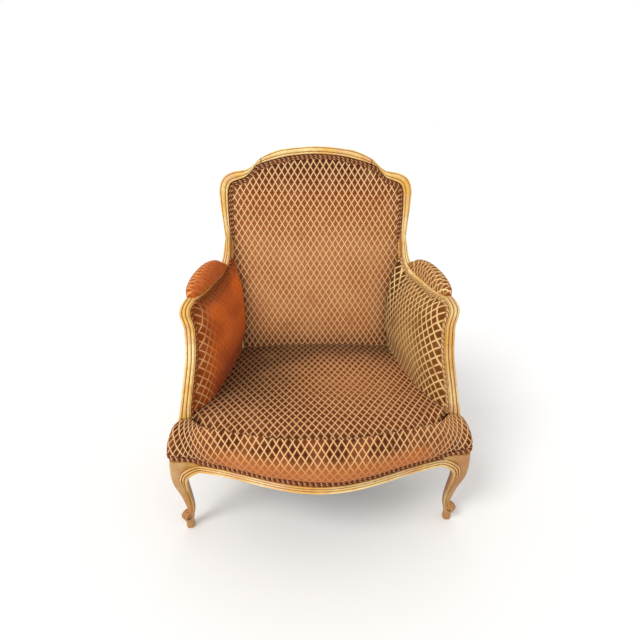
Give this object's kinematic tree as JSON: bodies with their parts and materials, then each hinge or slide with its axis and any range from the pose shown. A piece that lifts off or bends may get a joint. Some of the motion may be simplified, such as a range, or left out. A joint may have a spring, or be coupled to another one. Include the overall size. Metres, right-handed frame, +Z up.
{
  "type": "bergere chair",
  "caption": "Wide upholstered bergere with a moulded show-wood frame, arched back, closed padded arms, serpentine seat front and cabriole front legs.",
  "frame": {"origin": "on the floor under the middle of the chair's outline", "axes": "+Z up, +Y towards the chair's back, +X towards the right of the picture"},
  "size_m": [0.7608, 0.622, 0.9484],
  "materials": {
    "painted_wood": "antiqued cream-gold paint over carved wood",
    "bare_beech": "unfinished beech",
    "steel": "plain steel wire and screws",
    "lattice_fabric": "woven lattice, brown and rust with cream lines",
    "welt_cord": "double welt in the same cloth",
    "jute": "natural jute webbing and canvas",
    "black_cambric": "thin black cambric"
  },
  "bodies": {
    "root": {"arm_rail_left": "painted_wood", "arm_rail_right": "painted_wood", "arm_support_left": "painted_wood", "arm_support_right": "painted_wood", "arm_webbing_left": "jute", "arm_webbing_right": "jute", "back_bottom_rail": "bare_beech", "back_webbing": "jute", "corner_block_screws": "steel", "corner_blocks": "bare_beech", "crest_rail": "painted_wood", "dust_cover": "black_cambric", "dust_cover_tacks": "steel", "front_leg_left": "painted_wood", "front_leg_right": "painted_wood", "front_seat_rail": "painted_wood", "inside_arm_pad_left": "lattice_fabric", "inside_arm_pad_right": "lattice_fabric", "inside_arm_welt_left": "welt_cord", "inside_arm_welt_right": "welt_cord", "inside_back_pad": "lattice_fabric", "inside_back_welt": "welt_cord", "joint_dowels": "bare_beech", "manchette_left": "lattice_fabric", "manchette_right": "lattice_fabric", "outside_arm_cover_left": "lattice_fabric", "outside_arm_cover_right": "lattice_fabric", "outside_arm_welt_left": "welt_cord", "outside_arm_welt_right": "welt_cord", "outside_back_cover": "lattice_fabric", "outside_back_welt": "welt_cord", "rear_post_left": "painted_wood", "rear_post_right": "painted_wood", "rear_seat_rail": "bare_beech", "seat_canvas": "jute", "seat_deck": "lattice_fabric", "seat_front_roll": "lattice_fabric", "seat_springs": "steel", "seat_webbing": "jute", "seat_welt": "welt_cord", "side_seat_rail_left": "bare_beech", "side_seat_rail_right": "bare_beech"}
  },
  "joints": []
}
